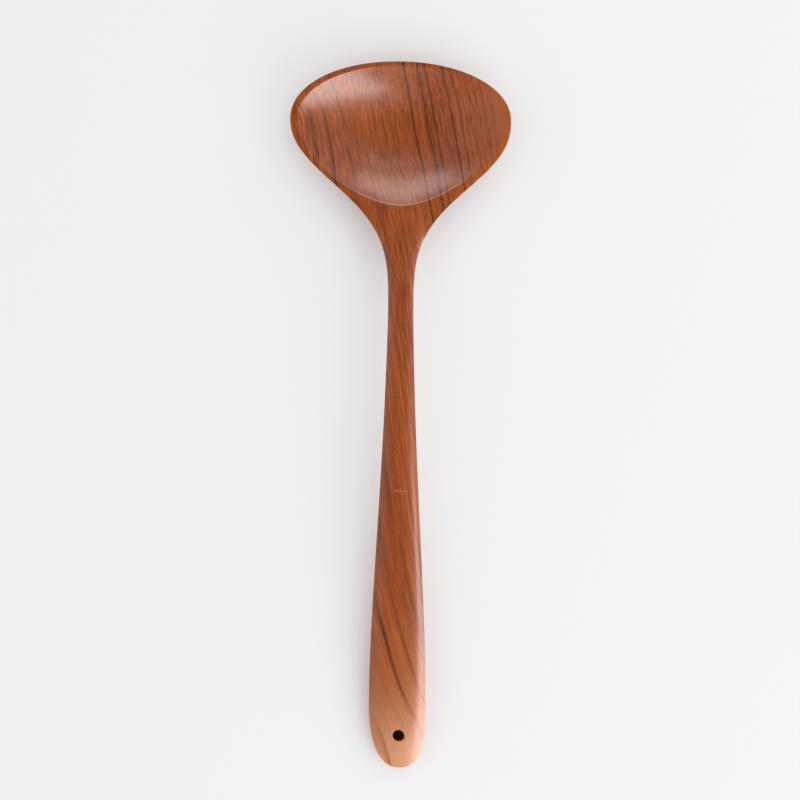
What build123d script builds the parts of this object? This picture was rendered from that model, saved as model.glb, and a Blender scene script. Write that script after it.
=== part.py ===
from build123d import *

import math
import os

# A soup ladle carved from one piece of wood: a shallow oval bowl whose shoulders run into a slim
# arched handle. It lies on the underside of the bowl and on the end of the handle.
# Millimetres, +Z up, +Y from the handle to the bowl's tip. "Behind" is a distance from the bowl's
# widest line towards the end of the handle.

# Bowl, seen from above. The hand that carved it left it a little to one side and a little round.
bowl_half_width = 51.5
bowl_front = 27.15
bowl_front_power = 2.07
bowl_offset = -0.8
bowl_turn = -0.7
shoulder_left = 38.3
shoulder_left_power = 2.26
shoulder_right = 40.0
shoulder_right_power = 2.4

# Handle, seen from above
neck_half_width = 5.3
neck_start = 30.0
grip_half_width = 13.2
grip_place = 272.0
flare_power = 2.23
end_length = 31.4
end_power = 2.5
end_lean = 1.5

# Heights and thicknesses, seen from the side
rim_height = 19.8
rim_side = 3.6
lowest_place = 5.0
keel_reach = 28.9
keel_power = 2.2
level_top = 10.0
crown_height = 27.2
crown_place = 125.0
arch_power = 1.75
neck_depth = 12.0
grip_depth = 10.4
end_depth = 6.6

# Hollow of the bowl: the land left around it, and the wood left under it
side_land = 1.9
front_land = 2.0
shoulder_land = 1.1
floor_depth = 5.3
hollow_shift = 0.35
hollow_turn = -0.3
hollow_front_power = 2.07
hollow_rear_power = 1.68

# Roundings: how far top and underside curve away at the sides, and the radii along the edges
bowl_reach = 55.0
bowl_reach_power = 4
rim_fall = 0.4
neck_fall = 2.4
grip_fall = 3.0
neck_rise = 3.0
grip_rise = 3.6
rounding_share = 0.7
top_radius = 0.8
under_radius = 1.2
hollow_radius = 0.4

# Hole to hang it by, drilled a little off the middle
hole_radius = 2.75
hole_from_end = 15.6
hole_offset = 0.7
hole_easing = 0.3

# How far the cutting forms run past the wood
overrun = 5.0
side_overrun_share = 1.25

# How many points the sheets of top and underside run through, and how near they come to them
sheet_rows = 85
sheet_columns = 11
sheet_tolerance = 0.02

# How many sections the hollow has, and how far out its depth is still worked out
hollow_section_count = 11
edge_limit_share = 0.95

# Places of the outline's points: shares of the length of bowl and handle along the sides, and how
# many over the bowl's tip and over the handle's end
outline_shares = (0, 0.03, 0.06, 0.09, 0.12, 0.15, 0.18, 0.21, 0.25, 0.3, 0.38, 0.5,
                  0.62, 0.75, 0.88, 1)
oval_point_count = 17

# Worked out from the above
full_length = grip_place + end_length
shoulder = (shoulder_left + shoulder_right) / 2
shoulder_power = (shoulder_left_power + shoulder_right_power) / 2
hollow_half_width = bowl_half_width - side_land
hollow_front = bowl_front - front_land
hollow_rear = shoulder + shoulder_land
hollow_depth = rim_height - floor_depth
clear_level = crown_height + 2 * bowl_half_width


def step(share):
    """Go smoothly from 0 to 1 as the share does, and stay there."""
    share = min(max(share, 0), 1)
    return share * share * (3 - 2 * share)


def fade(behind, reach, power):
    """Weight of the bowl at a place: 1 before the widest line, fading to 0 past the reach."""
    return math.exp(-((max(behind, 0) / reach) ** power))


def along_handle(behind, at_neck, at_grip):
    """A size of the handle at a place, given its values at the neck and at the grip."""
    return at_neck + (at_grip - at_neck) * step((behind - neck_start) / (grip_place - neck_start))


def handle_half_width(behind):
    """Half the width of the handle alone, which swells from the neck to the grip."""
    share = min(max((behind - neck_start) / (grip_place - neck_start), 0), 1)
    swell = math.sin(math.pi / 2 * share**flare_power)
    return neck_half_width + (grip_half_width - neck_half_width) * swell


def half_width(behind, side):
    """Half the width of bowl and handle on one side, -1 for the left and 1 for the right."""
    reach, power = ((shoulder_left, shoulder_left_power) if side < 0 else
                    (shoulder_right, shoulder_right_power))
    handle = handle_half_width(behind)
    return handle + (bowl_half_width - handle) * fade(behind, reach, power)


def ending(behind):
    """How far a place is on its way over the handle's end, as a share that starts at the grip."""
    return max((behind - grip_place) / end_length, 0)


def carried(x, behind):
    """Place a point of the outline, carried along by the bowl's offset and turn and the end's lean."""
    weight = fade(behind, shoulder, shoulder_power)
    angle = math.radians(bowl_turn * weight)
    aside = bowl_offset * weight + end_lean * ending(behind)**2
    return (x * math.cos(angle) + behind * math.sin(angle) + aside,
            x * math.sin(angle) - behind * math.cos(angle))


def half_oval(half, length, power):
    """Points over half an oval from its right to its left, the fuller the higher the power."""
    points = []
    for i in range(oval_point_count):
        angle = math.pi * i / (oval_point_count - 1)
        x, y = math.cos(angle), math.sin(angle)
        points.append((math.copysign(half * abs(x)**(2 / power), x), length * abs(y)**(2 / power)))
    return points


def curve(points, start, finish):
    """A smooth curve through points, with the directions that it starts and finishes in."""
    return Spline(*points, tangents=(start, finish), tangent_scalars=(1, 1))


def outline():
    """The ladle from above: two half ovals, joined by the shoulders and the handle's sides."""
    angle = math.radians(bowl_turn)
    forth, back = (-math.sin(angle), math.cos(angle)), (math.sin(angle), -math.cos(angle))
    tip = [carried(x, -y) for x, y in half_oval(bowl_half_width, bowl_front, bowl_front_power)]
    end = [carried(x, grip_place + y) for x, y in half_oval(grip_half_width, end_length, end_power)]
    curves = [curve(tip, forth, back), curve(end, (0, -1), (0, 1))]
    for side in (-1, 1):
        places = [share * grip_place for share in outline_shares]
        curves.append(curve([carried(side * half_width(b, side), b) for b in places], back, (0, -1)))
    return make_face(curves)


def depth(behind):
    """Thickness of neck and handle along the middle, which thins out over the rounded end."""
    thinning = (end_depth - grip_depth) * ending(behind)**2
    return along_handle(behind, neck_depth, grip_depth) + thinning


def top_line(behind):
    """Height of the top along the middle: level at the bowl, arched over the handle."""
    if behind < crown_place:
        rise = step((behind - level_top) / (crown_place - level_top))
        return rim_height + (crown_height - rim_height) * rise
    share = (behind - crown_place) / (full_length - crown_place)
    return (crown_height - depth(crown_place)) * (1 - share**arch_power) + depth(behind)


def keel_line(behind):
    """Height of the underside along the middle, lowest under the bowl and at the very end."""
    if behind < lowest_place:
        share = (lowest_place - behind) / (bowl_front + lowest_place)
        return (rim_height - rim_side) * share**2
    leaving = 1 - math.exp(-(((behind - lowest_place) / keel_reach) ** keel_power))
    return (top_line(behind) - depth(behind)) * leaving


def across(behind, height, change, rounding):
    """Points of a curve across the ladle that has changed by so much where it meets the outline.

    The curve is a parabola at rounding 0, and stays level longer the nearer rounding is to 1.
    """
    left, right = half_width(behind, -1), half_width(behind, 1)
    reach = side_overrun_share * max(left, right)
    middle = carried(0, behind)[0]
    points = []
    for i in range(sheet_columns):
        x = reach * (2 * i / (sheet_columns - 1) - 1)
        share = 2 * x / (left + right)
        z = height + change * ((1 - rounding) * share**2 + rounding * share**4)
        points.append((middle + x, -behind, z))
    return points


def form_beyond(curves, level):
    """The solid between the sheet that runs through curves across the ladle and one far off."""
    sheet = Face.make_surface_from_array_of_points(curves, tol=sheet_tolerance)
    return extrude(sheet, abs(level), dir=(0, 0, level))


def sheet_places():
    """Places of the curves that a sheet runs through, from before the tip to behind the end."""
    first, last = -bowl_front - overrun, full_length + overrun
    return [first + (last - first) * i / (sheet_rows - 1) for i in range(sheet_rows)]


def below_top():
    """Everything below the top, which is level over the bowl and rounded over the handle."""
    curves = []
    for b in sheet_places():
        bowl = fade(b, bowl_reach, bowl_reach_power)
        fall = bowl * rim_fall + (1 - bowl) * along_handle(b, neck_fall, grip_fall)
        curves.append(across(b, top_line(b), -fall, rounding_share))
    return form_beyond(curves, -clear_level)


def above_underside():
    """Everything above the underside: a round bowl that draws in to a rounded handle."""
    curves = []
    for b in sheet_places():
        bowl = fade(b, bowl_reach, bowl_reach_power)
        inside = max(b, -edge_limit_share * bowl_front)
        bowl_rise = rim_height - rim_side - keel_line(inside)
        bowl_rise /= 1 - (min(inside, 0) / bowl_front) ** 2
        rise = bowl * bowl_rise + (1 - bowl) * along_handle(b, neck_rise, grip_rise)
        curves.append(across(b, keel_line(b), rise, rounding_share * (1 - bowl)))
    return form_beyond(curves, clear_level)


def hollow_sink(behind):
    """Depth of the hollow below the rim along the middle, deepest at the lowest place."""
    edge = hollow_rear if behind > lowest_place else -hollow_front
    return hollow_depth * (1 - ((behind - lowest_place) / (edge - lowest_place)) ** 2)


def hollow_edge(behind):
    """Half the width of the oval edge of the hollow."""
    power, length = hollow_front_power, hollow_front
    if behind > 0:
        power, length = hollow_rear_power, hollow_rear
    return hollow_half_width * (1 - (abs(behind) / length) ** power) ** (1 / power)


def above_hollow():
    """Everything above the hollow's floor, a dish whose edge is an oval on the bowl's top."""
    sections = []
    reach = side_overrun_share * bowl_half_width
    first, last = -hollow_front - overrun, hollow_rear + overrun
    for i in range(hollow_section_count):
        b = first + (last - first) * i / (hollow_section_count - 1)
        inside = min(max(b, -edge_limit_share * hollow_front), edge_limit_share * hollow_rear)
        rise = hollow_sink(inside) * (reach / hollow_edge(inside)) ** 2
        floor = top_line(b) - hollow_sink(b)
        heights = (floor + rise, floor, floor - rise / 3, floor, floor + rise)
        points = [(reach * (k - 2) / 2, -b, z) for k, z in enumerate(heights)]
        near, far = (-reach, -b, clear_level), (reach, -b, clear_level)
        sections.append(make_face([Bezier(*points), Line(points[-1], far), Line(far, near),
                                   Line(near, points[0])]))
    return Location((bowl_offset + hollow_shift, 0, 0), (0, 0, hollow_turn)) * loft(sections)


def wall_edges(body):
    """The upper and the lower edges of the walls that stand along the outline."""
    upper, lower = ShapeList(), ShapeList()
    for wall in body.faces().filter_by(GeomType.EXTRUSION):
        curves = wall.edges().filter_by(GeomType.LINE, reverse=True).sort_by(Axis.Z)
        lower.append(curves[0])
        upper.append(curves[-1])
    return upper, lower


def carved_body():
    """The ladle without its hollow: the outline cut through the wood, then top and underside."""
    wood = Location((0, 0, -overrun)) * extrude(outline(), crown_height + 2 * overrun)
    body = wood & above_underside() & below_top()
    body = fillet(wall_edges(body)[0], top_radius)
    return fillet(wall_edges(body)[1], under_radius)


def hollowed(body):
    """Hollow the bowl and ease the edge of the hollow."""
    body -= above_hollow()
    deepest = Vector(bowl_offset + hollow_shift, -lowest_place, floor_depth)
    floor = min(body.faces(), key=lambda face: face.distance_to(deepest))
    return fillet(floor.edges(), hollow_radius)


def drilled(body):
    """Drill the hanging hole and ease its mouths."""
    place = (hole_offset, hole_from_end - full_length)
    body -= Location(place) * Cylinder(hole_radius, 2 * clear_level)
    bore = body.faces().filter_by(GeomType.CYLINDER).sort_by_distance(place)[0]
    return fillet(bore.edges().filter_by(GeomType.LINE, reverse=True), hole_easing)


def ladle():
    """Carve, hollow and drill the ladle, and stand it on the origin by the middle of its box."""
    body = drilled(hollowed(carved_body()))
    box = body.bounding_box()
    origin = Vector(box.center().X, box.center().Y, box.min.Z)
    print("hanging hole at x", round(hole_offset - origin.X, 2), "y",
          round(hole_from_end - full_length - origin.Y, 2), "widest line at y", round(-origin.Y, 2))
    return Location(-origin) * body


if __name__ == "__main__":
    os.makedirs("parts", exist_ok=True)
    export_step(ladle(), "parts/ladle.step")
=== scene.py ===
import logging
import math
from dataclasses import dataclass, field
from enum import Enum
from typing import Callable

import bmesh
import bpy
from mathutils import Euler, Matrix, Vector


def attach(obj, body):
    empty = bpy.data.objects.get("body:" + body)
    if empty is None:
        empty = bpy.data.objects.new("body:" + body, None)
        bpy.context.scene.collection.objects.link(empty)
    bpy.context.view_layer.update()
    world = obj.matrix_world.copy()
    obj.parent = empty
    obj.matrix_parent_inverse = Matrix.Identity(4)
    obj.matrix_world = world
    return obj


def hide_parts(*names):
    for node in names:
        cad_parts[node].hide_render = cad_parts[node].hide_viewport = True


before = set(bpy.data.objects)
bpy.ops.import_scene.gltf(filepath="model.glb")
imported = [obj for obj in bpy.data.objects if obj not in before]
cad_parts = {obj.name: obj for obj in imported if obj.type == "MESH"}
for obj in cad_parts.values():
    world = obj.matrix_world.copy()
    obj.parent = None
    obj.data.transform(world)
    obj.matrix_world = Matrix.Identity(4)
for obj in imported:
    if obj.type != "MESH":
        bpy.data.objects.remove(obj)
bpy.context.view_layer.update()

log = logging.getLogger("soup_ladle")

MM = 0.001
BODY = "root"
NODE = "ladle"

Mesh = bmesh.types.BMesh
Vert = bmesh.types.BMVert
Edge = bmesh.types.BMEdge


def turned(x: float, y: float, degrees: float) -> tuple[float, float]:
    """A point of the plan, turned to the left about its origin."""
    angle = math.radians(degrees)
    return (x * math.cos(angle) - y * math.sin(angle),
            x * math.sin(angle) + y * math.cos(angle))


class Side(Enum):
    """The two sides of the ladle, by the sign of their places across it."""

    LEFT = -1
    RIGHT = 1


@dataclass(frozen=True)
class LadleForm:
    """The ladle's sizes in millimetres, and the lines and heights that follow from them.

    A place is given by x, across the ladle, and by how far it lies behind the bowl's widest line.
    Bearings grow to the right.
    """

    bowl_half_width: float = 51.5
    bowl_front: float = 27.15
    bowl_front_power: float = 2.07
    bowl_offset: float = -0.8
    bowl_turn: float = -0.7
    shoulder_left: float = 38.3
    shoulder_left_power: float = 2.26
    shoulder_right: float = 40.0
    shoulder_right_power: float = 2.4
    neck_half_width: float = 5.3
    neck_start: float = 30.0
    grip_half_width: float = 13.2
    grip_place: float = 272.0
    flare_power: float = 2.23
    end_length: float = 31.4
    end_power: float = 2.5
    end_lean: float = 1.5
    rim_height: float = 19.8
    rim_side: float = 3.6
    lowest_place: float = 5.0
    keel_reach: float = 28.9
    keel_power: float = 2.2
    level_top: float = 10.0
    crown_height: float = 27.2
    crown_place: float = 125.0
    arch_power: float = 1.75
    neck_depth: float = 12.0
    grip_depth: float = 10.4
    end_depth: float = 6.6
    hollow_half_width: float = 49.6
    hollow_front: float = 25.15
    hollow_rear: float = 40.25
    hollow_depth: float = 14.5
    hollow_shift: float = 0.35
    hollow_turn: float = -0.3
    hollow_front_power: float = 2.07
    hollow_rear_power: float = 1.68
    bowl_reach: float = 55.0
    bowl_reach_power: float = 4.0
    rim_fall: float = 0.4
    neck_fall: float = 2.4
    grip_fall: float = 3.0
    neck_rise: float = 3.0
    grip_rise: float = 3.6
    rounding_share: float = 0.7
    held_share: float = 0.95

    @property
    def full_length(self) -> float:
        """Distance from the widest line to the end of the handle."""
        return self.grip_place + self.end_length

    def fade(self, behind: float, reach: float, power: float) -> float:
        """Weight of the bowl: 1 before the widest line, fading to 0 past the reach."""
        return math.exp(-((max(behind, 0.0) / reach) ** power))

    def step(self, share: float) -> float:
        """Go smoothly from 0 to 1 as the share does, and stay there."""
        share = min(max(share, 0.0), 1.0)
        return share * share * (3.0 - 2.0 * share)

    def handle_share(self, behind: float) -> float:
        """Share of the way from the neck to the grip."""
        return (behind - self.neck_start) / (self.grip_place - self.neck_start)

    def along_handle(self, behind: float, at_neck: float, at_grip: float) -> float:
        """A size of the handle at a place, given its values at the neck and at the grip."""
        return at_neck + (at_grip - at_neck) * self.step(self.handle_share(behind))

    def half_width(self, behind: float, side: Side) -> float:
        """Half the width of bowl and handle.

        Args:
            behind: Distance behind the widest line.
            side: Which side it is for, since the shoulders differ.

        Returns:
            The distance from the middle to the outline.
        """
        share = min(max(self.handle_share(behind), 0.0), 1.0)
        swell = math.sin(math.pi / 2.0 * share**self.flare_power)
        handle = self.neck_half_width + (self.grip_half_width - self.neck_half_width) * swell
        reach, power = ((self.shoulder_left, self.shoulder_left_power) if side is Side.LEFT else
                        (self.shoulder_right, self.shoulder_right_power))
        return handle + (self.bowl_half_width - handle) * self.fade(behind, reach, power)

    def ending(self, behind: float) -> float:
        """How far a place is on its way over the handle's end, starting at the grip."""
        return max((behind - self.grip_place) / self.end_length, 0.0)

    def carried(self, x: float, behind: float) -> Vector:
        """Place a point of the outline, carried along by the bowl's turn and the end's lean.

        Args:
            x: Place across an untouched, straight ladle.
            behind: Distance behind the widest line.

        Returns:
            The point in the plan, with +Y towards the bowl's tip.
        """
        shoulder = (self.shoulder_left + self.shoulder_right) / 2.0
        power = (self.shoulder_left_power + self.shoulder_right_power) / 2.0
        weight = self.fade(behind, shoulder, power)
        aside = self.bowl_offset * weight + self.end_lean * self.ending(behind) ** 2
        x, y = turned(x, -behind, self.bowl_turn * weight)
        return Vector((x + aside, y))

    def front_edge(self, bearing: float) -> Vector:
        """The outline round the bowl's tip, before the widest line.

        Args:
            bearing: Angle round the bowl from the handle's side.

        Returns:
            The outline's point in the plan.
        """
        across, along = math.sin(bearing), math.cos(bearing)
        power = 2.0 / self.bowl_front_power
        x = math.copysign(abs(across) ** power, across) * self.bowl_half_width
        return self.carried(x, -self.bowl_front * abs(along) ** power)

    def depth(self, behind: float) -> float:
        """Thickness of neck and handle along the middle, thinner over the rounded end."""
        thinning = (self.end_depth - self.grip_depth) * self.ending(behind) ** 2
        return self.along_handle(behind, self.neck_depth, self.grip_depth) + thinning

    def top_line(self, behind: float) -> float:
        """Height of the top along the middle: level at the bowl, arched over the handle.

        Args:
            behind: Distance behind the widest line.

        Returns:
            The height above the table.
        """
        if behind < self.crown_place:
            rise = self.step((behind - self.level_top) / (self.crown_place - self.level_top))
            return self.rim_height + (self.crown_height - self.rim_height) * rise
        share = (behind - self.crown_place) / (self.full_length - self.crown_place)
        arch = self.crown_height - self.depth(self.crown_place)
        return arch * (1.0 - min(share, 1.0) ** self.arch_power) + self.depth(behind)

    def keel_line(self, behind: float) -> float:
        """Height of the underside along the middle, lowest under the bowl and at the end.

        Args:
            behind: Distance behind the widest line.

        Returns:
            The height above the table.
        """
        if behind < self.lowest_place:
            share = (self.lowest_place - behind) / (self.bowl_front + self.lowest_place)
            return (self.rim_height - self.rim_side) * share**2
        past = (behind - self.lowest_place) / self.keel_reach
        leaving = 1.0 - math.exp(-(past**self.keel_power))
        return (self.top_line(behind) - self.depth(behind)) * leaving

    def across_share(self, x: float, behind: float) -> float:
        """Place across the ladle as a share of its half width there."""
        both = self.half_width(behind, Side.LEFT) + self.half_width(behind, Side.RIGHT)
        return 2.0 * (x - self.carried(0.0, behind).x) / both

    def top(self, x: float, behind: float) -> float:
        """Height of the top, which is level over the bowl and rounded over the handle.

        Args:
            x: Place across the ladle.
            behind: Distance behind the widest line.

        Returns:
            The height above the table.
        """
        bowl = self.fade(behind, self.bowl_reach, self.bowl_reach_power)
        handle_fall = self.along_handle(behind, self.neck_fall, self.grip_fall)
        fall = bowl * self.rim_fall + (1.0 - bowl) * handle_fall
        share, late = self.across_share(x, behind), self.rounding_share
        return self.top_line(behind) - fall * ((1.0 - late) * share**2 + late * share**4)

    def underside(self, x: float, behind: float) -> float:
        """Height of the underside: a round bowl that draws in to a rounded handle.

        Args:
            x: Place across the ladle.
            behind: Distance behind the widest line.

        Returns:
            The height above the table.
        """
        bowl = self.fade(behind, self.bowl_reach, self.bowl_reach_power)
        inside = max(behind, -self.held_share * self.bowl_front)
        bowl_rise = self.rim_height - self.rim_side - self.keel_line(inside)
        bowl_rise /= 1.0 - (min(inside, 0.0) / self.bowl_front) ** 2
        handle_rise = self.along_handle(behind, self.neck_rise, self.grip_rise)
        rise = bowl * bowl_rise + (1.0 - bowl) * handle_rise
        share, late = self.across_share(x, behind), self.rounding_share * (1.0 - bowl)
        return self.keel_line(behind) + rise * ((1.0 - late) * share**2 + late * share**4)

    def hollow_edge(self, bearing: float) -> Vector:
        """The oval that the hollow has at the rim, in its own place.

        Args:
            bearing: Angle round the oval from the handle's side.

        Returns:
            The oval's point, before it is turned and set aside.
        """
        across, along = math.sin(bearing), math.cos(bearing)
        rear = along > 0.0
        power = 2.0 / (self.hollow_rear_power if rear else self.hollow_front_power)
        length = self.hollow_rear if rear else -self.hollow_front
        x = math.copysign(abs(across) ** power, across) * self.hollow_half_width
        return Vector((x, -length * abs(along) ** power))

    def sink(self, behind: float) -> float:
        """How deep the hollow is along its middle, deepest at the lowest place."""
        edge = self.hollow_rear if behind > self.lowest_place else -self.hollow_front
        return self.hollow_depth * (
            1.0 - ((behind - self.lowest_place) / (edge - self.lowest_place)) ** 2)

    def hollow(self, x: float, y: float) -> float:
        """Height of the hollow's floor, which rises above the rim outside the hollow.

        Args:
            x: Place across the ladle.
            y: Place along it, from the widest line towards the bowl's tip.

        Returns:
            The height above the table.
        """
        x, y = turned(x - (self.bowl_offset + self.hollow_shift), y, -self.hollow_turn)
        behind = -y
        power, length = ((self.hollow_rear_power, self.hollow_rear) if behind > 0.0 else
                         (self.hollow_front_power, self.hollow_front))
        inside = min(abs(behind) / length, self.held_share)
        reach = self.hollow_half_width * (1.0 - inside**power) ** (1.0 / power)
        held = min(max(behind, -self.held_share * self.hollow_front),
                   self.held_share * self.hollow_rear)
        return self.top_line(behind) - self.sink(behind) + self.sink(held) * (x / reach) ** 2


@dataclass
class CarvedLadle:
    """The ladle: hollowed bowl, neck and handle in one mesh of even rings and rows.

    Lengths are in millimetres. The mesh starts as a flat sheet in the plan, which is copied for
    the underside, lifted to its heights, walled in and rounded along its edges.
    """

    form: LadleForm = field(default_factory=LadleForm)
    grid_cells: int = 24
    neck_cells: int = 12
    centre_share: float = 0.42
    ring_shares: tuple[float, ...] = (0.54, 0.66, 0.77, 0.87, 0.95, 1.0)
    land_start: float = 52.0
    land_decay: float = 0.72
    neck_margin: float = 1.01
    rim_search: tuple[float, float] = (0.8, 1.05)
    search_steps: int = 30
    crowding: float = 0.2
    row_step: float = 5.5
    end_rows: int = 14
    end_corner: float = 48.0
    corner_pace: float = 0.8
    hole_x: float = 0.7
    hole_from_end: float = 15.6
    hole_radius: float = 2.75
    top_radius: float = 0.8
    under_radius: float = 1.2
    hollow_radius: float = 0.5
    mouth_radius: float = 0.3
    outer_segments: int = 3
    inner_segments: int = 2
    hollow_margin: float = 1.0
    chip: tuple[tuple[float, float], ...] = ((-22.5, 0.9), (-45.0, 0.8), (-67.5, 0.3))
    chip_aim: float = 5.0
    chip_depth: float = 1.0
    origin_x: float = 0.8
    widest_y: float = 138.12
    smoothing: int = 2

    def __post_init__(self) -> None:
        """Work out where the neck's outermost column leaves the oval."""
        half = self.neck_cells / self.grid_cells
        self.neck_bearing = math.atan2(half * math.sqrt(0.5), math.sqrt(1.0 - half * half / 2.0))

    def on_rim(self, bearing: float) -> Vector:
        """The point at a bearing where the hollow comes out through the top.

        Args:
            bearing: Angle round the bowl from the handle's side.

        Returns:
            The point in the plan.
        """
        centre = self.oval_centre()
        out = self.hollow_place(self.form.hollow_edge(bearing)) - centre
        low, high = self.rim_search
        for _ in range(self.search_steps):
            share = (low + high) / 2.0
            point = centre + out * share
            if self.form.hollow(point.x, point.y) < self.form.top(point.x, -point.y):
                low = share
            else:
                high = share
        return centre + out * low

    def hollow_place(self, point: Vector) -> Vector:
        """Set a point of the hollow's own oval into the plan, turned and set aside."""
        x, y = turned(point.x, point.y, self.form.hollow_turn)
        return Vector((x + self.form.bowl_offset + self.form.hollow_shift, y))

    def oval_centre(self) -> Vector:
        """The lowest point of the hollow in the plan."""
        return self.hollow_place(Vector((0.0, -self.form.lowest_place)))

    def in_bowl(self, bearing: float, share: float) -> Vector:
        """A point of the hollow at a bearing, at a share of the way from its middle to its rim."""
        centre = self.oval_centre()
        return centre + (self.on_rim(bearing) - centre) * share

    def on_outline(self, bearing: float) -> Vector:
        """The outline beside the rim, and the neck's first row where the handle leaves it.

        Args:
            bearing: Angle round the bowl from the handle's side.

        Returns:
            The point in the plan.
        """
        if abs(bearing) <= self.neck_bearing * self.neck_margin:
            return self.on_row(bearing / self.neck_bearing, self.land_start)
        if math.cos(bearing) <= 0.0:
            return self.form.front_edge(bearing)
        side = Side.RIGHT if bearing > 0.0 else Side.LEFT
        rear, neck = -self.form.hollow_edge(bearing).y, math.cos(self.neck_bearing)
        beyond = self.land_start + self.form.hollow_edge(self.neck_bearing).y
        steps = (abs(bearing) - self.neck_bearing) / math.radians(90.0 / self.grid_cells)
        behind = rear + beyond * self.land_decay**steps * math.cos(bearing) / neck
        return self.form.carried(side.value * self.form.half_width(behind, side), behind)

    def across_row(self, share: float) -> float:
        """Crowd the columns a little towards both sides, where the top curves most."""
        return share * (1.0 + self.crowding - self.crowding * share * share)

    def on_row(self, share: float, behind: float) -> Vector:
        """A point of a straight row across neck and handle.

        Args:
            share: Place across, from -1 to 1.
            behind: Distance behind the widest line.

        Returns:
            The point in the plan.
        """
        share = self.across_row(share)
        side = Side.RIGHT if share > 0.0 else Side.LEFT
        return self.form.carried(share * self.form.half_width(behind, side), behind)

    def on_end(self, share: float, progress: float) -> Vector:
        """A point of a row over the handle's rounded end, which bends as the rows go on.

        Args:
            share: Place across, from -1 to 1.
            progress: 0 at the grip's widest row, 1 on the end's outline.

        Returns:
            The point in the plan.
        """
        form, row = self.form, self.across_row(share)
        power = 2.0 / form.end_power
        spread = math.radians(90.0 - self.end_corner)
        corner = math.cos(spread) ** power
        turn = spread * row
        oval_row = math.copysign((abs(math.sin(turn)) / math.sin(spread)) ** power, row)
        quarter = math.pi / 2.0
        side_share = (corner * math.sin(quarter * self.corner_pace * progress)
                      / math.sin(quarter * self.corner_pace))
        middle_share = math.sin(quarter * progress)
        half = form.grip_half_width * (1.0 - side_share**form.end_power) ** (1.0 / form.end_power)
        x = half * (row + (oval_row - row) * progress**2)
        bulge = (math.cos(turn) ** power - corner) / (1.0 - corner)
        reach = side_share + (middle_share - side_share) * bulge
        return form.carried(x, form.grip_place + form.end_length * reach)

    def extrude(self, mesh: Mesh, edges: list[Edge]) -> tuple[set[Vert], list[Edge]]:
        """Extrude edges where they lie.

        Args:
            mesh: The mesh they are in.
            edges: The edges.

        Returns:
            The new points, and the new edges between them.
        """
        new = bmesh.ops.extrude_edge_only(mesh, edges=edges)["geom"]
        verts = {item for item in new if isinstance(item, Vert)}
        return verts, [item for item in new if isinstance(item, Edge)
                       and all(vert in verts for vert in item.verts)]

    def grow(self, mesh: Mesh, edges: list[Edge],
             place: Callable[[float], Vector]) -> list[Edge]:
        """Extrude edges of the sheet outwards and put their new points in place.

        Args:
            mesh: The sheet.
            edges: The edges to go on from.
            place: Function from a point's bearing to its place in the plan.

        Returns:
            The new outer edges.
        """
        verts, outer = self.extrude(mesh, edges)
        for vert in verts:
            vert.co = place(vert[self.bearing]).to_3d()
        return outer

    def lay_sheet(self, mesh: Mesh) -> None:
        """Lay the whole ladle out flat: bowl, land, neck, handle and rounded end.

        Args:
            mesh: The empty mesh to lay it in.
        """
        self.bearing = mesh.verts.layers.float.new("bearing")
        bmesh.ops.create_grid(mesh, x_segments=self.grid_cells, y_segments=self.grid_cells,
                              size=1.0)
        for vert in mesh.verts:
            across, along = vert.co.x, vert.co.y
            round_x = across * math.sqrt(1.0 - along * along / 2.0)
            round_y = along * math.sqrt(1.0 - across * across / 2.0)
            vert[self.bearing] = math.atan2(round_x, -round_y)
            share = self.centre_share * math.hypot(round_x, round_y)
            vert.co = self.in_bowl(vert[self.bearing], share).to_3d()
        ring = [edge for edge in mesh.edges if edge.is_boundary]
        for share in self.ring_shares:
            ring = self.grow(mesh, ring, lambda bearing: self.in_bowl(bearing, share))
        self.rim_ring = ring
        ring = self.grow(mesh, ring, self.on_outline)
        limit = self.neck_bearing * self.neck_margin
        row = [edge for edge in ring
               if all(abs(vert[self.bearing]) < limit for vert in edge.verts)]
        straight = self.form.grip_place - self.land_start
        count = round(straight / self.row_step)
        for i in range(1, count + 1):
            behind = self.land_start + straight * i / count
            row = self.grow(mesh, row, lambda bearing: self.on_row(
                bearing / self.neck_bearing, behind))
        for i in range(1, self.end_rows + 1):
            row = self.grow(mesh, row, lambda bearing: self.on_end(
                bearing / self.neck_bearing, i / self.end_rows))

    def open_hole(self, mesh: Mesh) -> list[Edge]:
        """Cut a block of cells out of the sheet and close it in to the round hanging hole.

        Args:
            mesh: The sheet.

        Returns:
            The hole's edges.
        """
        centre = self.hole_centre()
        middle = min(mesh.verts, key=lambda vert: (vert.co - centre).length)
        inner = {vert for face in middle.link_faces for vert in face.verts}
        block = {vert for near in inner for face in near.link_faces for vert in face.verts} - inner
        bmesh.ops.delete(mesh, geom=list(inner), context="VERTS")
        mouth = [edge for edge in mesh.edges if edge.is_boundary
                 and all(vert in block for vert in edge.verts)]
        verts, round_mouth = self.extrude(mesh, mouth)
        step = math.tau / len(verts)
        for vert in verts:
            out = vert.co - centre
            angle = round(math.atan2(out.y, out.x) / step) * step
            vert.co = centre + Vector((math.cos(angle), math.sin(angle), 0.0)) * self.hole_radius
        return round_mouth

    def hole_centre(self) -> Vector:
        """The middle of the hanging hole in the plan."""
        return Vector((self.hole_x, self.hole_from_end - self.form.full_length, 0.0))

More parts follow.
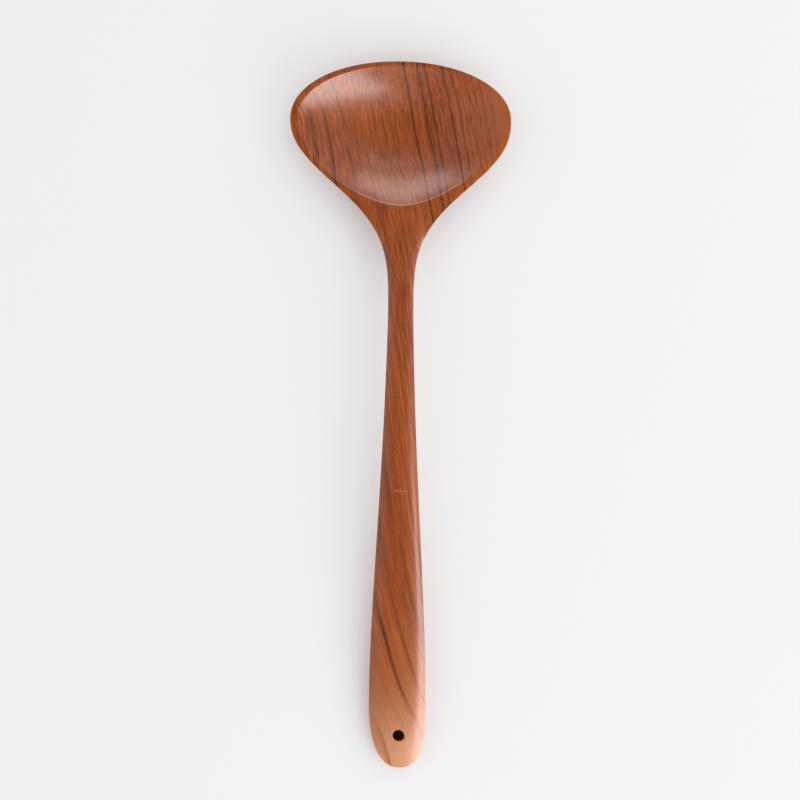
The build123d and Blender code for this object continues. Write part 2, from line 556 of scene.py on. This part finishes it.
    def tear_mouth(self, mesh: Mesh, mouth: list[Edge]) -> list[Edge]:
        """Start the bore below the hole's upper mouth, and tear the mouth out at its chip.

        Args:
            mesh: The ladle.
            mouth: The edges of the upper mouth.

        Returns:
            The edges where the clean bore starts.
        """
        start, bore = self.extrude(mesh, mouth)
        for vert in start:
            vert.co.z -= self.chip_depth
        for vert in {vert for edge in mouth for vert in edge.verts}:
            out = (vert.co - self.hole_centre()).xy
            for bearing, reach in self.chip:
                if abs(math.degrees(math.atan2(out.y, out.x)) - bearing) < self.chip_aim:
                    vert.co += (out.normalized() * reach).to_3d()
        return bore

    def lift(self, upper: list[Vert], lower: list[Vert]) -> None:
        """Give both sheets their heights.

        Args:
            upper: The points of the top, with the hollow.
            lower: The points of the underside.
        """
        for vert in upper:
            height = self.form.top(vert.co.x, -vert.co.y)
            if -vert.co.y < self.form.hollow_rear + self.hollow_margin:
                height = min(height, self.form.hollow(vert.co.x, vert.co.y))
            vert.co.z = height
        for vert in lower:
            vert.co.z = self.form.underside(vert.co.x, -vert.co.y)

    def round_edges(self, mesh: Mesh, edges: list[Edge], radius: float, segments: int) -> None:
        """Round edges over a radius."""
        bmesh.ops.bevel(mesh, geom=edges, offset=radius, offset_type="OFFSET", segments=segments,
                        profile=0.5, affect="EDGES", material=-1, clamp_overlap=True)

    def build(self) -> bpy.types.Object:
        """Model the ladle.

        Returns:
            The finished object at the origin, in metres.
        """
        mesh = bmesh.new()
        self.lay_sheet(mesh)
        mouth = self.open_hole(mesh)
        outline = [edge for edge in mesh.edges if edge.is_boundary and edge not in mouth]
        upper = list(mesh.verts)
        rim = list(self.rim_ring)
        copied = bmesh.ops.duplicate(mesh, geom=mesh.verts[:] + mesh.edges[:] + mesh.faces[:])
        partner = copied["edge_map"]
        lower = [item for item in copied["geom"] if isinstance(item, Vert)]
        bmesh.ops.reverse_faces(mesh, faces=[item for item in copied["geom"]
                                             if isinstance(item, bmesh.types.BMFace)])
        self.lift(upper, lower)
        low_outline = [partner[edge] for edge in outline]
        low_mouth = [partner[edge] for edge in mouth]
        bmesh.ops.bridge_loops(mesh, edges=outline + low_outline)
        bmesh.ops.bridge_loops(mesh, edges=self.tear_mouth(mesh, mouth) + low_mouth)
        self.round_edges(mesh, outline, self.top_radius, self.outer_segments)
        self.round_edges(mesh, low_outline, self.under_radius, self.outer_segments)
        self.round_edges(mesh, rim, self.hollow_radius, self.inner_segments)
        self.round_edges(mesh, mouth + low_mouth, self.mouth_radius, self.inner_segments)
        bmesh.ops.recalc_face_normals(mesh, faces=mesh.faces[:])
        bmesh.ops.translate(mesh, verts=mesh.verts[:], vec=(self.origin_x, self.widest_y, 0.0))
        bmesh.ops.scale(mesh, verts=mesh.verts[:], vec=(MM, MM, MM))
        for face in mesh.faces:
            face.smooth = True
        data = bpy.data.meshes.new("carved_ladle")
        mesh.to_mesh(data)
        mesh.free()
        piece = bpy.data.objects.new("carved_ladle", data)
        bpy.context.scene.collection.objects.link(piece)
        smooth = piece.modifiers.new("smooth", "SUBSURF")
        smooth.levels = smooth.render_levels = self.smoothing
        return piece


Socket = bpy.types.NodeSocket
Feed = Socket | float
Colour = tuple[float, float, float, float]
Pairs = tuple[tuple[float, float], ...]


@dataclass(frozen=True)
class Span:
    """The two ends of a range, and what a value becomes at each of them."""

    start: float
    end: float
    at_start: float = 0.0
    at_end: float = 1.0


@dataclass(frozen=True)
class Layer:
    """Smooth noise in the wood, by the size of its blobs in millimetres.

    The sizes are across the growth lines, along them and upwards. Detail is how many finer
    layers it has, and gain is how much it counts.
    """

    across: float
    along: float
    up: float
    detail: float = 2.0
    gain: float = 1.0


@dataclass(frozen=True)
class Vein:
    """A dark growth line of the wood.

    Place is where it crosses the bowl's widest line, in millimetres to the right of the middle.
    Left and right are how far its shade reaches to either side, and depth is how dark it is.
    It shows between the places start and end along the ladle, where it has them.
    """

    place: float
    left: float
    right: float
    depth: float
    start: float | None = None
    end: float | None = None


class NodeBoard:
    """Adds nodes to a material's tree, one call for each kind that a finish uses."""

    def __init__(self, tree: bpy.types.NodeTree) -> None:
        """Work on the given tree."""
        self.tree = tree

    def add(self, kind: str) -> bpy.types.Node:
        """Add a node of a kind."""
        return self.tree.nodes.new("ShaderNode" + kind)

    def feed(self, socket: Socket, value: Feed | Colour) -> None:
        """Link a socket to another one, or set it to a value.

        Args:
            socket: The input.
            value: The output that feeds it, or its constant.
        """
        if isinstance(value, Socket):
            self.tree.links.new(value, socket)
        else:
            socket.default_value = value

    def fill(self, node: bpy.types.Node, feeds: dict[str, Feed | Colour]) -> None:
        """Feed several inputs of a node by their names."""
        for name, value in feeds.items():
            self.feed(node.inputs[name], value)

    def math(self, operation: str, *values: Feed) -> Socket:
        """Combine up to three values.

        Args:
            operation: Name of the operation.
            values: Its values, numbers or sockets.

        Returns:
            The result's socket.
        """
        node = self.add("Math")
        node.operation = operation
        for socket, value in zip(node.inputs, values):
            self.feed(socket, value)
        return node.outputs["Value"]

    def remap(self, value: Feed, span: Span, kind: str = "SMOOTHSTEP") -> Socket:
        """Carry a value from one range over to another, held at the ends.

        Args:
            value: The value.
            span: Its range, and what it becomes.
            kind: Name of the interpolation.

        Returns:
            The result's socket.
        """
        node = self.add("MapRange")
        node.interpolation_type = kind
        self.fill(node, {"Value": value, "From Min": span.start, "From Max": span.end,
                         "To Min": span.at_start, "To Max": span.at_end})
        return node.outputs["Result"]

    def curve(self, value: Feed, pairs: Pairs, least: float) -> Socket:
        """Read a value off a smooth curve through pairs.

        Args:
            value: How far it is from the first pair's place to the last's, as a share.
            pairs: Places in rising order, each with the result there.
            least: The result at the bottom of the curve's own range.

        Returns:
            The result's socket.
        """
        first, last = pairs[0][0], pairs[-1][0]
        rise = max(result for _, result in pairs) - least
        node = self.add("FloatCurve")
        curve = node.mapping.curves[0]
        while len(curve.points) < len(pairs):
            curve.points.new(0.5, 0.5)
        for point, (place, result) in zip(curve.points, pairs):
            point.location = ((place - first) / (last - first), (result - least) / rise)
        node.mapping.update()
        self.feed(node.inputs["Value"], value)
        return self.math("MULTIPLY_ADD", node.outputs["Value"], rise, least)

    def split(self, kind: str) -> list[Socket]:
        """Read one kind of texture coordinate as its three parts.

        Args:
            kind: Name of the coordinate.

        Returns:
            Its sockets x, y and z.
        """
        node = self.add("SeparateXYZ")
        self.feed(node.inputs["Vector"], self.add("TexCoord").outputs[kind])
        return list(node.outputs)

    def point(self, x: Feed, y: Feed, z: Feed) -> Socket:
        """Join three values to a point.

        Args:
            x: Its place across.
            y: Its place along.
            z: Its height.

        Returns:
            The point's socket.
        """
        node = self.add("CombineXYZ")
        for socket, value in zip(node.inputs, (x, y, z)):
            self.feed(socket, value)
        return node.outputs["Vector"]

    def noise(self, across: Feed, along: Feed, up: Feed, layer: Layer) -> Socket:
        """Smooth noise whose grain has a different size in each direction.

        Args:
            across: Place across the wood's growth lines.
            along: Place along them.
            up: Height.
            layer: Its sizes and detail.

        Returns:
            Its socket, from 0 to 1 and mostly near the middle.
        """
        sizes = (layer.across, layer.along, layer.up)
        places = [self.math("DIVIDE", value, size)
                  for value, size in zip((across, along, up), sizes)]
        node = self.add("TexNoise")
        self.fill(node, {"Scale": 1.0, "Detail": layer.detail, "Vector": self.point(*places)})
        return node.outputs["Fac"]

    def swing(self, noise: Socket, gain: Feed) -> Socket:
        """Centre noise on 0 and let it swing by half a gain to either side."""
        return self.math("MULTIPLY", self.math("SUBTRACT", noise, 0.5), gain)

    def blend(self, share: Feed, first: Socket | Colour, second: Socket | Colour) -> Socket:
        """Mix two colours.

        Args:
            share: How much of the second there is.
            first: A colour.
            second: Another one.

        Returns:
            The mixed colour's socket.
        """
        node = self.add("Mix")
        node.data_type = "RGBA"
        for socket, value in zip((node.inputs[0], *node.inputs[6:8]), (share, first, second)):
            self.feed(socket, value)
        return node.outputs[2]


@dataclass(frozen=True)
class WoodPlace:
    """A point of the wood in millimetres, its place across the growth lines, and its nodes."""

    board: NodeBoard
    x: Socket
    y: Socket
    z: Socket
    across: Socket

    def grain(self, layer: Layer) -> Socket:
        """Noise that follows the growth lines."""
        return self.board.noise(self.across, self.y, self.z, layer)


@dataclass(frozen=True)
class TeakFinish:
    """Oiled teak: dark veins that lean along the ladle, fine streaks and open pores.

    Lengths are in millimetres. The veins wander to the right on their way to the handle's end,
    as the drift says: pairs of a place along the ladle and how far they have gone by there.
    """

    dark: Colour = (0.065, 0.017, 0.006, 1.0)
    deep: Colour = (0.245, 0.047, 0.009, 1.0)
    light: Colour = (0.455, 0.108, 0.024, 1.0)
    warm: Colour = (0.46, 0.13, 0.036, 1.0)
    # Lighter wood at the handle's end, brightened further as a painted highlight on the end's
    # falling top.
    pale: Colour = (0.7, 0.32, 0.165, 1.0)
    # Bare wood at the hole's chip, made bright as painted light on the chip's face.
    torn_wood_and_painted_light: Colour = (0.8, 0.28, 0.1, 1.0)
    torn_place: tuple[float, float, float] = (3.3, -151.8, 11.2)
    torn_reach: float = 1.5
    torn_core: float = 0.7
    rubbed: Colour = (0.6, 0.2, 0.075, 1.0)
    rubbed_place: tuple[float, float, float] = (1.4, -34.7, 24.0)
    rubbed_reach: tuple[float, float, float] = (4.3, 0.9, 6.0)
    rubbed_core: float = 0.3
    rubbed_share: float = 0.42
    roughness: float = 0.45
    figure_roughness: float = 0.16
    pore_roughness: float = 0.2
    shine: float = 0.12
    gloss: float = 1.0
    gloss_roughness: float = 0.23
    relief_strength: float = 0.5
    relief_depth: float = 0.05
    pore_depth: float = -0.6
    bowl_start: Span = Span(60.0, 100.0)
    left_tilt: Span = Span(-18.0, -48.0, 0.03, 0.6)
    right_tilt: Span = Span(5.0, 45.0, 0.0, 0.24)
    tilt_level: float = 13.0
    bend: Layer = Layer(30.0, 70.0, 40.0, gain=1.6)
    waver: Layer = Layer(3.0, 14.0, 8.0, gain=0.7)
    figure: Layer = Layer(1.5, 60.0, 6.0, 4.0, 1.5)
    fine: Layer = Layer(0.45, 9.0, 2.0, 1.0)
    fine_gain: Span = Span(-30.0, 60.0, 1.3, 2.6)
    broad: Layer = Layer(9.0, 160.0, 30.0, 1.0, 0.8)
    patches: Layer = Layer(5.0, 45.0, 30.0)
    dashes: Layer = Layer(0.22, 1.6, 0.5, 1.0)
    unevenness: Layer = Layer(14.0, 22.0, 14.0, gain=6.0)
    middle_tone: float = 0.5
    whole_tone: Span = Span(0.0, 1.0)
    lighter_right: Span = Span(18.0, 49.0, 0.0, 0.55)
    warming: Span = Span(-88.0, -128.0, 0.0, 0.6)
    paling_and_highlight: Span = Span(-115.0, -172.0)
    vein_patches: Span = Span(0.3, 0.6, 0.7, 1.15)
    vein_reddening: Span = Span(-96.0, -150.0)
    vein_cover: Span = Span(0.0, 1.0, 0.0, 0.88)
    fade_outside: float = 12.0
    fade_inside: float = 6.0
    pore_edge: Span = Span(0.63, 0.72)
    pore_cover: Span = Span(-110.0, -150.0, 0.55, 0.3)
    drift: Pairs = (
        (-164.0, 66.0), (-145.0, 60.0), (-133.0, 54.2), (-121.0, 49.5), (-105.0, 44.5),
        (-86.5, 39.7), (-68.0, 35.7), (-16.0, 27.0), (40.0, 18.8), (77.0, 12.9), (95.0, 9.3),
        (105.0, 6.9), (119.0, 3.5), (133.5, 0.0), (145.0, -1.8), (162.0, -5.1),
    )
    veins: tuple[Vein, ...] = (
        Vein(-68.2, 1.8, 0.7, 0.6, -175.0, -148.0),
        Vein(-63.5, 0.8, 0.7, 0.16, -150.0, -124.0),
        Vein(-60.2, 1.2, 0.6, 0.15, -142.0, -104.0),
        Vein(-56.4, 1.0, 0.6, 0.18, -142.0, -112.0),
        Vein(-49.0, 1.3, 0.7, 0.45, -152.0, -84.0),
        Vein(-49.0, 1.1, 0.7, 0.45, -128.0, -96.0),
        Vein(-46.2, 0.5, 0.4, 0.25, -120.0, -90.0),
        Vein(-40.8, 0.9, 0.6, 0.25, -122.0, -108.0),
        Vein(-40.8, 1.0, 0.7, 0.42, -145.0, -52.0),
        Vein(-39.8, 0.7, 0.5, 0.65, 118.0, 142.0),
        Vein(-34.2, 1.0, 0.6, 0.85, 104.0, 144.0),
        Vein(-33.9, 1.6, 0.8, 0.42, -46.0, -22.0),
        Vein(-32.2, 1.4, 0.6, 0.38, -104.0, -60.0),
        Vein(-27.0, 0.5, 0.3, 0.35),
        Vein(-24.6, 0.8, 0.4, 0.25, end=70.0),
        Vein(-21.0, 0.5, 0.4, 0.3, -20.0, 60.0),
        Vein(-18.4, 0.4, 0.3, 0.2), Vein(-12.5, 0.4, 0.3, 0.25), Vein(-8.0, 0.4, 0.3, 0.2),
        Vein(-4.2, 0.3, 0.3, 0.22), Vein(3.2, 0.3, 0.2, 0.3), Vein(4.6, 0.3, 0.2, 0.4),
        Vein(6.5, 0.8, 0.35, 0.8), Vein(9.3, 0.3, 0.3, 0.2), Vein(12.9, 0.9, 0.4, 0.95),
        Vein(16.3, 0.8, 0.4, 0.85), Vein(18.6, 0.4, 0.3, 0.3), Vein(21.0, 0.4, 0.4, 0.2),
        Vein(24.9, 0.6, 0.4, 1.0), Vein(28.8, 0.7, 0.5, 0.6), Vein(31.6, 0.4, 0.3, 0.3),
        Vein(35.2, 0.5, 0.4, 0.3), Vein(38.2, 0.4, 0.4, 0.25), Vein(41.6, 0.5, 0.4, 0.3),
        Vein(45.3, 0.5, 0.4, 0.25),
    )

    def find_place(self, board: NodeBoard) -> WoodPlace:
        """Work out where a point lies across the growth lines.

        Args:
            board: The material's nodes.

        Returns:
            The point's place.
        """
        x, y, z = (board.math("MULTIPLY", part, 1.0 / MM) for part in board.split("Object"))
        tilt = board.math("ADD", board.remap(x, self.left_tilt, "LINEAR"),
                          board.remap(x, self.right_tilt, "LINEAR"))
        tilt = board.math("MULTIPLY", tilt, board.remap(y, self.bowl_start))
        leaning = board.math("MULTIPLY_ADD", board.math("SUBTRACT", z, self.tilt_level), tilt, x)
        way = board.remap(y, Span(self.drift[0][0], self.drift[-1][0]), "LINEAR")
        gone = board.curve(way, self.drift, self.drift[-1][1])
        across = board.math("SUBTRACT", leaning, gone)
        for layer in (self.bend, self.waver):
            across = board.math("ADD", across, board.swing(
                board.noise(across, y, z, layer), layer.gain))
        return WoodPlace(board, x, y, z, across)

    def ground(self, place: WoodPlace, figure: Socket, fine: Socket) -> Socket:
        """Colour of the wood between its veins, lighter towards the handle's end: partly paler
        wood, partly a painted highlight.

        Args:
            place: The point's place.
            figure: The noise of the middling streaks.
            fine: The noise of the fine ones.

        Returns:
            The colour's socket.
        """
        board = place.board
        tone = board.math("ADD", board.swing(figure, self.figure.gain), self.middle_tone)
        for part in (board.swing(fine, board.remap(place.y, self.fine_gain)),
                     board.swing(place.grain(self.broad), self.broad.gain),
                     board.remap(place.x, self.lighter_right)):
            tone = board.math("ADD", tone, part)
        colour = board.blend(board.remap(tone, self.whole_tone, "LINEAR"), self.deep, self.light)
        colour = board.blend(board.remap(place.y, self.warming), colour, self.warm)
        # Towards the end the wood lightens: partly paler wood, partly a painted highlight.
        return board.blend(board.remap(place.y, self.paling_and_highlight), colour, self.pale)

    def vein_shade(self, place: WoodPlace) -> Socket:
        """Darkness of all the veins together.

        Args:
            place: The point's place.

        Returns:
            Its socket, 0 between the veins.
        """
        board, total = place.board, 0.0
        for vein in self.veins:
            sides = [board.math("MULTIPLY_ADD", place.across, 1.0 / reach, -vein.place / reach)
                     for reach in (vein.right, -vein.left)]
            away = board.math("MAXIMUM", *sides)
            fall = board.math("EXPONENT", board.math("MULTIPLY", board.math(
                "MULTIPLY", away, away), -1.0))
            depth: Feed = vein.depth
            if vein.start is not None:
                depth = board.remap(place.y, Span(vein.start - self.fade_outside,
                                                  vein.start + self.fade_inside, 0.0, vein.depth))
            if vein.end is not None:
                depth = board.math("MULTIPLY", depth, board.remap(place.y, Span(
                    vein.end + self.fade_outside, vein.end - self.fade_inside)))
            total = board.math("MULTIPLY_ADD", fall, depth, total)
        return total

    def veined(self, place: WoodPlace, colour: Socket) -> Socket:
        """Draw the veins over a colour, darker in some patches than in others.

        Args:
            place: The point's place.
            colour: The wood's colour between the veins.

        Returns:
            The colour's socket.
        """
        board = place.board
        patches = board.remap(place.grain(self.patches), self.vein_patches)
        veins = board.math("MULTIPLY", self.vein_shade(place), patches)
        shade = board.blend(board.remap(place.y, self.vein_reddening), self.dark, self.deep)
        return board.blend(board.remap(veins, self.vein_cover, "LINEAR"), colour, shade)

    def marked(self, place: WoodPlace, colour: Socket) -> Socket:
        """Bare the wood where it is chipped at the hole, with painted light on the chip's face,
        and where it is rubbed at the middle of the handle.

        Args:
            place: The point's place.
            colour: The wood's colour.

        Returns:
            The colour's socket.
        """
        board = place.board
        chip = board.add("VectorMath")
        chip.operation = "DISTANCE"
        board.feed(chip.inputs[0], board.point(place.x, place.y, place.z))
        chip.inputs[1].default_value = self.torn_place
        near = board.remap(chip.outputs["Value"],
                           Span(self.torn_reach, self.torn_reach * self.torn_core))
        # Bare wood at the chip, brightened as painted light on its face.
        colour = board.blend(near, colour, self.torn_wood_and_painted_light)
        share: Feed = self.rubbed_share
        for value, middle, reach in zip((place.x, place.y, place.z), self.rubbed_place,
                                        self.rubbed_reach):
            off = board.math("ABSOLUTE", board.math("SUBTRACT", value, middle))
            share = board.math("MULTIPLY", share, board.remap(
                off, Span(reach, reach * self.rubbed_core)))
        return board.blend(share, colour, self.rubbed)

    def make(self) -> bpy.types.Material:
        """Build the material.

        Returns:
            The material.
        """
        material = bpy.data.materials.new("oiled_teak")
        material.use_nodes = True
        board = NodeBoard(material.node_tree)
        shader = material.node_tree.nodes["Principled BSDF"]
        place = self.find_place(board)
        figure, fine = place.grain(self.figure), place.grain(self.fine)
        pores = board.remap(place.grain(self.dashes), self.pore_edge)

        colour = self.marked(place, self.veined(place, self.ground(place, figure, fine)))
        open_pores = board.math("MULTIPLY", pores, board.remap(place.y, self.pore_cover))
        rough = board.math("ADD", board.swing(figure, self.figure_roughness), self.roughness)
        height = board.math("MULTIPLY_ADD", pores, self.pore_depth, fine)
        carved = board.noise(place.x, place.y, place.z, self.unevenness)
        height = board.math("MULTIPLY_ADD", carved, self.unevenness.gain, height)
        relief = board.add("Bump")
        board.fill(relief, {"Strength": self.relief_strength, "Height": height,
                            "Distance": self.relief_depth * MM})
        board.fill(shader, {
            "Base Color": board.blend(open_pores, colour, self.dark),
            "Roughness": board.math("MULTIPLY_ADD", pores, self.pore_roughness, rough),
            "Specular IOR Level": self.shine,
            "Coat Weight": self.gloss,
            "Coat Roughness": self.gloss_roughness,
            "Normal": relief.outputs["Normal"],
        })
        return material


@dataclass(frozen=True)
class PaleFloorFinish:
    """The floor's finish: matt and pale, with painted shade in the hole, and the backdrop's glow
    mixed in.

    The camera and mirroring surfaces see the glow, less of it where the ladle stands close,
    which is painted shade, and there it turns pink as painted bounce light from the wood.
    """

    bare: Colour = (0.9, 0.9, 0.9, 1.0)
    # Painted shade: dark brown for the floor where ambient occlusion is deep, as under the hole.
    shaded: Colour = (0.06, 0.02, 0.012, 1.0)
    # Painted bounce light: the glow's pink colour where the ladle stands close.
    painted_bounce_glow: Colour = (0.95, 0.87, 0.88, 1.0)
    clear_glow: Colour = (1.0, 1.0, 1.0, 1.0)
    glow: float = 0.9
    roughness: float = 0.9
    shine: float = 0.1
    shade_reach: float = 0.03
    shaded_span: Span = Span(0.2, 0.4)
    painted_bounce_span: Span = Span(0.5, 0.95)
    # Painted shade: how the glow's share falls where the ladle stands close.
    painted_shade_glow_span: Span = Span(0.2, 0.87, 0.0, 0.72)

    def make(self) -> bpy.types.Material:
        """Build the material.

        Returns:
            The material.
        """
        material = bpy.data.materials.new("pale_floor")
        material.use_nodes = True
        tree = material.node_tree
        shader = tree.nodes["Principled BSDF"]
        board = NodeBoard(tree)
        nearby = board.add("AmbientOcclusion")
        board.fill(nearby, {"Distance": self.shade_reach})
        clear = nearby.outputs["AO"]
        # Painted shade: the floor's colour goes dark where ambient occlusion is deep.
        bare_or_painted_shade = board.blend(board.remap(clear, self.shaded_span), self.shaded, self.bare)
        board.fill(shader, {"Base Color": bare_or_painted_shade, "Roughness": self.roughness,
                            "Specular IOR Level": self.shine})
        glow = board.add("Emission")
        # Painted bounce light: the glow turns pink where ambient occlusion is deep.
        painted_bounce_tint = board.blend(board.remap(clear, self.painted_bounce_span), self.painted_bounce_glow,
                           self.clear_glow)
        board.fill(glow, {"Strength": self.glow, "Color": painted_bounce_tint})
        ray = board.add("LightPath").outputs
        seen = board.math("ADD", ray["Is Camera Ray"], board.math(
            "ADD", ray["Is Glossy Ray"], ray["Is Transmission Ray"]))
        # Painted shade: the glow fades where ambient occlusion is deep, so the floor darkens
        # beside the ladle.
        share = board.math("MULTIPLY", board.math("MINIMUM", seen, 1.0),
                           board.remap(clear, self.painted_shade_glow_span))
        both = board.add("MixShader")
        feeds = (share, shader.outputs["BSDF"], glow.outputs["Emission"])
        for socket, value in zip(both.inputs, feeds):
            board.feed(socket, value)
        board.feed(tree.nodes["Material Output"].inputs["Surface"], both.outputs["Shader"])
        return material


class Lights(Enum):
    """What a lamp lights: the shaded surfaces, or only what mirrors it."""

    SHADE = "shade"
    GLOSS = "gloss"


@dataclass(frozen=True)
class SoftBox:
    """A flat lamp: where it hangs, how large it is, how bright, and what it lights.

    Angles are in degrees, azimuth from the ladle's right towards the bowl's tip.
    """

    name: str
    azimuth: float
    elevation: float
    width: float
    height: float
    power: float
    lights: Lights
    distance: float = 1.2

    def hang(self) -> bpy.types.Object:
        """Hang the lamp and aim it at the ladle.

        Returns:
            The lamp's object.
        """
        data = bpy.data.lights.new(self.name, "AREA")
        data.shape = "RECTANGLE"
        data.size, data.size_y = self.width, self.height
        data.energy = self.power
        lamp = bpy.data.objects.new(self.name, data)
        turn, lift = math.radians(self.azimuth), math.radians(self.elevation)
        lamp.location = Vector((math.cos(turn) * math.cos(lift), math.sin(turn) * math.cos(lift),
                                math.sin(lift))) * self.distance
        lamp.rotation_euler = (-lamp.location).to_track_quat("-Z", "Y").to_euler()
        lamp.visible_camera = False
        lamp.visible_diffuse = self.lights is Lights.SHADE
        lamp.visible_glossy = self.lights is Lights.GLOSS
        bpy.context.scene.collection.objects.link(lamp)
        return lamp


@dataclass(frozen=True)
class Studio:
    """The pale floor, the lamps and the camera that looks straight down.

    Lengths are in metres. The room's light is given as pairs of a height in the sky, from the
    horizon at 0 to the top at 1, and how bright it is there.
    """

    lamps: tuple[SoftBox, ...] = (
        SoftBox("window", -45.0, 29.0, 1.4, 0.66, 20.0, Lights.GLOSS),
        SoftBox("near_light", -46.0, 37.0, 1.3, 0.9, 11.0, Lights.SHADE),
        SoftBox("far_light", 48.0, 40.0, 1.3, 0.9, 6.5, Lights.SHADE),
        SoftBox("far_low", 92.0, 17.0, 1.05, 0.4, 4.6, Lights.GLOSS),
        SoftBox("far_high", 90.0, 38.0, 1.0, 0.45, 0.9, Lights.GLOSS),
        SoftBox("fill_light", 180.0, 38.0, 1.6, 0.9, 4.0, Lights.SHADE),
        SoftBox("fill_gloss", 180.0, 42.0, 1.6, 0.9, 1.2, Lights.GLOSS),
    )
    floor_size: float = 8.0
    floor_finish: PaleFloorFinish = PaleFloorFinish()
    room_light: Pairs = (
        (0.0, 0.95), (0.2, 0.9), (0.3, 0.3), (0.8, 0.2), (0.92, 0.07), (1.0, 0.04),
    )
    camera_x: float = 0.00087
    camera_y: float = 0.0075
    camera_height: float = 1.5
    camera_roll: float = 0.531
    view_width: float = 0.3744
    view_level: float = 0.013
    sensor_width: float = 36.0
    farthest_seen: float = 20.0

    def lay_floor(self) -> bpy.types.Object:
        """Lay the floor under the ladle.

        Returns:
            The floor's object.
        """
        mesh = bmesh.new()
        bmesh.ops.create_grid(mesh, x_segments=1, y_segments=1, size=self.floor_size / 2.0)
        data = bpy.data.meshes.new("floor")
        mesh.to_mesh(data)
        mesh.free()
        data.materials.append(self.floor_finish.make())
        floor = bpy.data.objects.new("floor", data)
        bpy.context.scene.collection.objects.link(floor)
        return floor

    def light_room(self) -> None:
        """Give the room a pale light that is brightest low down and dim overhead."""
        world = bpy.data.worlds.new("room")
        world.use_nodes = True
        board = NodeBoard(world.node_tree)
        height = board.split("Generated")[2]
        board.fill(board.tree.nodes["Background"], {
            "Color": (1.0, 1.0, 1.0, 1.0), "Strength": board.curve(height, self.room_light, 0.0)})
        bpy.context.scene.world = world

    def place_camera(self) -> bpy.types.Object:
        """Put the camera above the ladle, looking straight down.

        Returns:
            The camera's object.
        """
        data = bpy.data.cameras.new("camera")
        data.sensor_width = self.sensor_width
        data.lens = self.sensor_width * (self.camera_height - self.view_level) / self.view_width
        data.clip_end = self.farthest_seen
        camera = bpy.data.objects.new("camera", data)
        camera.location = (self.camera_x, self.camera_y, self.camera_height)
        camera.rotation_euler = Euler((0.0, 0.0, math.radians(self.camera_roll)))
        bpy.context.scene.collection.objects.link(camera)
        bpy.context.scene.camera = camera
        return camera

    def set_up(self) -> None:
        """Build the whole studio."""
        self.lay_floor()
        self.light_room()
        for lamp in self.lamps:
            lamp.hang()
            log.info("hung %s", lamp.name)
        self.place_camera()


def main() -> None:
    """Build the ladle, dress it and set up the studio around it."""
    bpy.context.scene.view_settings.view_transform = "Standard"
    piece = CarvedLadle().build()
    piece.data.materials.append(TeakFinish().make())
    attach(piece, BODY)
    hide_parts(NODE)
    log.info("built %s: %d faces before smoothing", piece.name, len(piece.data.polygons))
    Studio().set_up()


if __name__ == "__main__":
    logging.basicConfig(level=logging.INFO)
    main()
